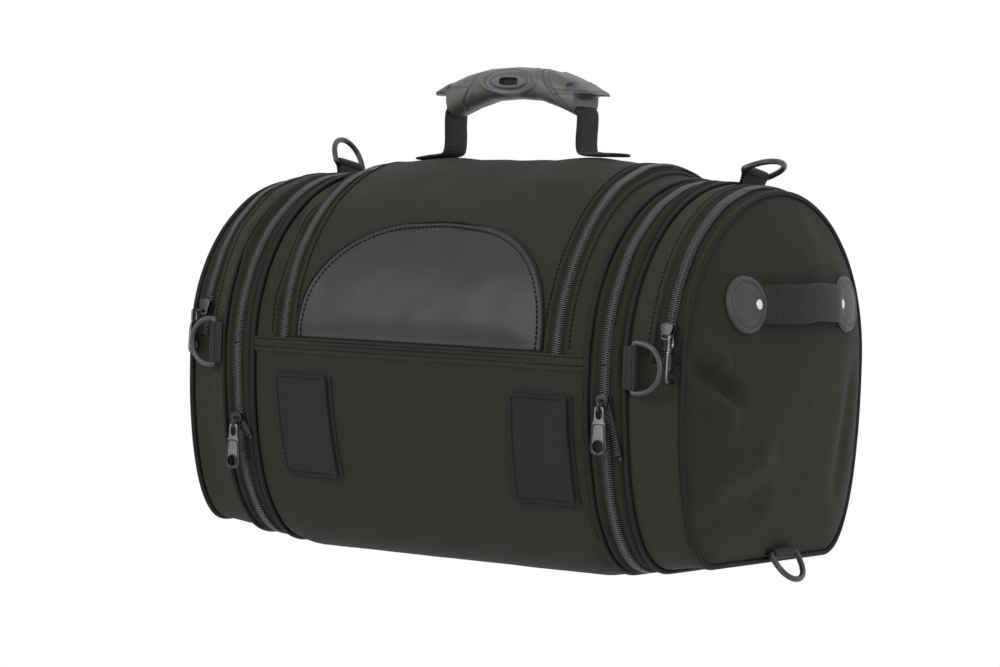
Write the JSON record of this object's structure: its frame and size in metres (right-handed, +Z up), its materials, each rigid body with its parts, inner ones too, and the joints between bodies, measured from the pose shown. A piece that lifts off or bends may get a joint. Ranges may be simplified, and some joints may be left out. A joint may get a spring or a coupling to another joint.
{
  "type": "motorcycle tail bag",
  "caption": "Round-topped expandable roll bag with a zipped lid, an end pocket and grab strap each side, a moulded carry handle, D-rings and hook-and-loop pads.",
  "frame": {"origin": "middle of the flat bottom that the bag rests on", "axes": "+X along the bag to its right end, -Y out of the front with the pads, +Z up"},
  "size_m": [0.4614, 0.2583, 0.3257],
  "materials": {
    "fabric": "fine twill woven nylon, very dark warm grey, matt",
    "lining": "plain woven lining, black",
    "vinyl": "smooth soft vinyl, dark grey, low sheen",
    "webbing": "ribbed polypropylene webbing, black",
    "zip_tape": "woven zip tape with a black nylon coil",
    "zip_metal": "die-cast zip slider and pull, gunmetal grey",
    "ring_black": "black coated wire, glossy",
    "rubber": "moulded soft rubber, dark grey, satin",
    "piping": "vinyl piping, black, satin",
    "hook_loop": "hook-and-loop pile, black, matt",
    "board": "stiffener sheet, black, matt"
  },
  "bodies": {
    "centre": {"main_shell": "fabric", "base_board": "board", "front_band": "fabric", "lid_zip": "zip_tape", "main_piping_left": "piping", "main_piping_right": "piping", "pad_base_left": "hook_loop", "pad_base_right": "hook_loop"},
    "lid": {"lid_panel": "fabric", "lid_front_panel": "vinyl", "handle_tab_left": "webbing", "handle_tab_right": "webbing"},
    "carry_handle": {"handle_webbing": "webbing", "handle_grip": "rubber"},
    "lid_zip_slider": {"lid_slider": "zip_metal"},
    "lid_zip_pull": {"lid_pull": "zip_metal"},
    "end_pocket_left": {"expansion_gusset_left": "fabric", "expansion_zip_left": "zip_tape", "divider_left": "lining", "end_band_left": "fabric", "end_piping_left": "piping", "end_panel_left": "fabric", "end_zip_left": "zip_tape", "ring_loop_front_left": "webbing", "ring_loop_top_left": "webbing", "ring_loop_bottom_left": "webbing"},
    "door_left": {"end_door_left": "fabric", "end_handle_left": "webbing", "end_patch_front_left": "vinyl", "end_patch_rear_left": "vinyl"},
    "end_slider_left": {"end_slider_left": "zip_metal"},
    "end_pull_left": {"end_pull_left": "zip_metal"},
    "expansion_slider_left": {"expansion_slider_left": "zip_metal"},
    "expansion_pull_left": {"expansion_pull_left": "zip_metal"},
    "ring_front_left": {"d_ring_front_left": "ring_black"},
    "ring_top_left": {"d_ring_top_left": "ring_black"},
    "ring_bottom_left": {"d_ring_bottom_left": "ring_black"},
    "flap_left": {"pad_flap_left": "hook_loop"},
    "end_pocket_right": {"expansion_gusset_right": "fabric", "expansion_zip_right": "zip_tape", "divider_right": "lining", "end_band_right": "fabric", "end_piping_right": "piping", "end_panel_right": "fabric", "end_zip_right": "zip_tape", "ring_loop_front_right": "webbing", "ring_loop_top_right": "webbing", "ring_loop_bottom_right": "webbing"},
    "door_right": {"end_door_right": "fabric", "end_handle_right": "webbing", "end_patch_front_right": "vinyl", "end_patch_rear_right": "vinyl"},
    "end_slider_right": {"end_slider_right": "zip_metal"},
    "end_pull_right": {"end_pull_right": "zip_metal"},
    "expansion_slider_right": {"expansion_slider_right": "zip_metal"},
    "expansion_pull_right": {"expansion_pull_right": "zip_metal"},
    "ring_front_right": {"d_ring_front_right": "ring_black"},
    "ring_top_right": {"d_ring_top_right": "ring_black"},
    "ring_bottom_right": {"d_ring_bottom_right": "ring_black"},
    "flap_right": {"pad_flap_right": "hook_loop"}
  },
  "joints": [
    {"name": "expand_left", "type": "slide", "parent": "centre", "child": "end_pocket_left", "axis": [-1, 0, 0], "range_m": [0, 0.045]},
    {"name": "expand_right", "type": "slide", "parent": "centre", "child": "end_pocket_right", "axis": [1, 0, 0], "range_m": [0, 0.045]},
    {"name": "flap_peel_left", "type": "hinge", "parent": "centre", "child": "flap_left", "pos_m": [-0.1136, -0.1225, 0.085], "axis": [0, 0, -1], "range_deg": [0, 100]},
    {"name": "flap_peel_right", "type": "hinge", "parent": "centre", "child": "flap_right", "pos_m": [0.0765, -0.1225, 0.08175], "axis": [0, 0, -1], "range_deg": [0, 100]},
    {"name": "lid_open", "type": "hinge", "parent": "centre", "child": "lid", "pos_m": [0, -0.1206, 0.1419], "axis": [1, 0, 0], "range_deg": [0, 110]},
    {"name": "lid_slider_travel", "type": "slide", "parent": "centre", "child": "lid_zip_slider", "axis": [-1, 0, 0], "range_m": [0, 0.18]},
    {"name": "door_open_left", "type": "hinge", "parent": "end_pocket_left", "child": "door_left", "pos_m": [-0.2165, 0, 0.1365], "axis": [0, -1, 0], "range_deg": [0, 110]},
    {"name": "end_slider_travel_left", "type": "hinge", "parent": "end_pocket_left", "child": "end_slider_left", "pos_m": [-0.1849, 0, 0.1365], "axis": [-1, 0, 0], "range_deg": [0, 157]},
    {"name": "expansion_slider_travel_left", "type": "slide", "parent": "end_pocket_left", "child": "expansion_slider_left", "axis": [0, -0.066, 0.9978], "range_m": [-0.02, 0.045]},
    {"name": "ring_bottom_swing_left", "type": "hinge", "parent": "end_pocket_left", "child": "ring_bottom_left", "pos_m": [-0.2038, 0.005, 0.018], "axis": [0, 1, 0], "range_deg": [-35, 110]},
    {"name": "ring_front_swing_left", "type": "hinge", "parent": "end_pocket_left", "child": "ring_front_left", "pos_m": [-0.1675, -0.1202, 0.136], "axis": [0, 0, 1], "range_deg": [0, 120]},
    {"name": "ring_top_swing_left", "type": "hinge", "parent": "end_pocket_left", "child": "ring_top_left", "pos_m": [-0.166, 0.018, 0.2585], "axis": [0, 0.9877, -0.1564], "range_deg": [-44, 86]},
    {"name": "door_open_right", "type": "hinge", "parent": "end_pocket_right", "child": "door_right", "pos_m": [0.2165, 0, 0.1365], "axis": [0, 1, 0], "range_deg": [0, 110]},
    {"name": "end_slider_travel_right", "type": "hinge", "parent": "end_pocket_right", "child": "end_slider_right", "pos_m": [0.1849, 0, 0.1365], "axis": [-1, 0, 0], "range_deg": [0, 157]},
    {"name": "expansion_slider_travel_right", "type": "slide", "parent": "end_pocket_right", "child": "expansion_slider_right", "axis": [0, -0.0185, 0.9998], "range_m": [-0.045, 0.02]},
    {"name": "ring_bottom_swing_right", "type": "hinge", "parent": "end_pocket_right", "child": "ring_bottom_right", "pos_m": [0.2038, 0.005, 0.018], "axis": [0, -1, 0], "range_deg": [-35, 110]},
    {"name": "ring_front_swing_right", "type": "hinge", "parent": "end_pocket_right", "child": "ring_front_right", "pos_m": [0.1675, -0.1202, 0.136], "axis": [0, 0, -1], "range_deg": [0, 120]},
    {"name": "ring_top_swing_right", "type": "hinge", "parent": "end_pocket_right", "child": "ring_top_right", "pos_m": [0.166, 0.018, 0.2585], "axis": [0, -0.9877, 0.1564], "range_deg": [0, 130]},
    {"name": "end_pull_swing_left", "type": "hinge", "parent": "end_slider_left", "child": "end_pull_left", "pos_m": [-0.1906, -0.11403, 0.15623], "axis": [-1, 0, 0], "range_deg": [0, 150]},
    {"name": "end_pull_swing_right", "type": "hinge", "parent": "end_slider_right", "child": "end_pull_right", "pos_m": [0.1906, -0.11403, 0.15623], "axis": [-1, 0, 0], "range_deg": [0, 150]},
    {"name": "expansion_pull_swing_left", "type": "hinge", "parent": "expansion_slider_left", "child": "expansion_pull_left", "pos_m": [-0.147, -0.12207, 0.08153], "axis": [-1, 0, 0], "range_deg": [0, 150]},
    {"name": "expansion_pull_swing_right", "type": "hinge", "parent": "expansion_slider_right", "child": "expansion_pull_right", "pos_m": [0.147, -0.12517, 0.11068], "axis": [-1, 0, 0], "range_deg": [0, 150]},
    {"name": "handle_swing", "type": "hinge", "parent": "lid", "child": "carry_handle", "pos_m": [-0.004, 0, 0.277], "axis": [1, 0, 0], "range_deg": [-75, 75]},
    {"name": "lid_pull_swing", "type": "hinge", "parent": "lid_zip_slider", "child": "lid_zip_pull", "pos_m": [0.09, 0.1267, 0.1412], "axis": [1, 0, 0], "range_deg": [0, 150]}
  ]
}
